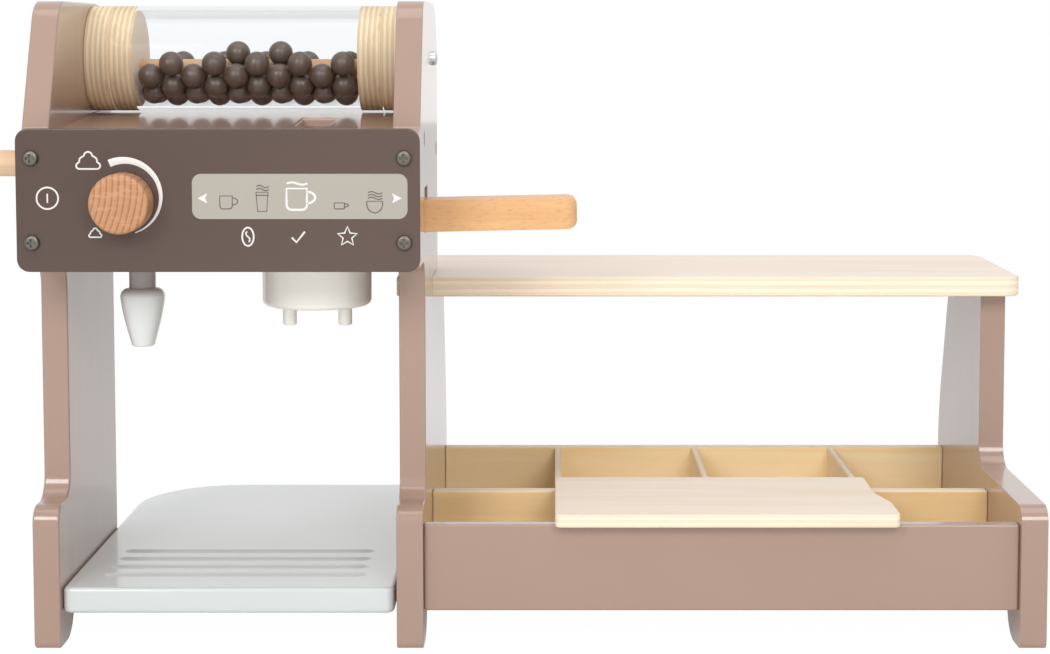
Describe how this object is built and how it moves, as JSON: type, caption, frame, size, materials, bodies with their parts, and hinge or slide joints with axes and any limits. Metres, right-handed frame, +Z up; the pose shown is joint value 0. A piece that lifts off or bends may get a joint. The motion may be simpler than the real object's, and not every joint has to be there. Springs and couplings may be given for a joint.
{
  "type": "toy coffee maker",
  "caption": "Wooden toy espresso machine with a clear bean tube, smoky control panel, turning knob, tilting lever, drip tray, cup shelf and divided storage box with a loose lid.",
  "frame": {"origin": "middle of the footprint, on the surface that the feet stand on", "axes": "+X along the width, from the brewing bay to the storage box; +Y from front to back; +Z up"},
  "size_m": [0.4818, 0.259, 0.29],
  "materials": {
    "taupe_paint": "semi-gloss dusty taupe paint on wood",
    "smoky_acrylic": "polished smoky acrylic",
    "dark_screw": "dark plated steel",
    "zinc_screw": "zinc plated steel",
    "beech": "oiled beech",
    "clear_acrylic": "clear acrylic tube",
    "plywood": "sanded plywood",
    "dowel_wood": "sanded hardwood dowel",
    "pale_dowel": "sanded pale dowel",
    "dark_bean": "stained and waxed beads",
    "outlet_paint": "satin off-white paint",
    "grey_paint": "satin grey paint",
    "tray_paint": "satin light grey paint",
    "pine": "sanded pine"
  },
  "bodies": {
    "root": {"left_side_panel": "taupe_paint", "middle_side_panel": "taupe_paint", "right_side_panel": "taupe_paint", "housing_top": "taupe_paint", "housing_back": "taupe_paint", "housing_floor": "taupe_paint", "housing_front": "taupe_paint", "housing_screws": "zinc_screw", "control_panel": "smoky_acrylic", "control_panel_screws": "dark_screw", "plug_flange_left": "plywood", "plug_flange_right": "plywood", "plug_core_left": "plywood", "plug_core_right": "plywood", "tube_tie_dowel": "dowel_wood", "coffee_beans": "dark_bean", "plug_screws": "zinc_screw", "lever_pin": "zinc_screw", "lever_bracket": "plywood", "brew_outlet": "outlet_paint", "brew_spouts": "outlet_paint", "outlet_screws": "zinc_screw", "wand_rod": "grey_paint", "wand_tip": "outlet_paint", "drip_tray": "tray_paint", "tray_dowels": "dowel_wood", "side_peg": "pale_dowel", "cup_shelf": "plywood", "shelf_dowels": "dowel_wood", "storage_front": "taupe_paint", "storage_middle_wall": "pine", "storage_rear_wall": "pine", "storage_floor": "plywood", "storage_divider_left": "plywood", "storage_divider_middle": "plywood", "storage_divider_right": "plywood", "storage_screws": "zinc_screw"},
    "knob": {"steam_knob": "beech", "knob_shaft": "beech", "knob_retainer": "plywood"},
    "tube": {"bean_tube": "clear_acrylic"},
    "lever": {"brew_lever": "beech"},
    "lid": {"storage_lid": "plywood"}
  },
  "joints": [
    {"name": "knob_turn", "type": "hinge", "parent": "root", "child": "knob", "pos_m": [-0.17055, -0.1225, 0.2025], "axis": [0, 1, 0], "continuous": true},
    {"name": "tube_turn", "type": "hinge", "parent": "root", "child": "tube", "pos_m": [-0.1303, -0.0075, 0.2636], "axis": [1, 0, 0], "continuous": true},
    {"name": "lever_lift", "type": "hinge", "parent": "root", "child": "lever", "pos_m": [-0.08905, -0.064, 0.192], "axis": [0, -1, 0], "range_deg": [0, 5.5]},
    {"name": "lid_slide", "type": "slide", "parent": "root", "child": "lid", "axis": [1, 0, 0], "range_m": [-0.0584, 0.0538]}
  ]
}
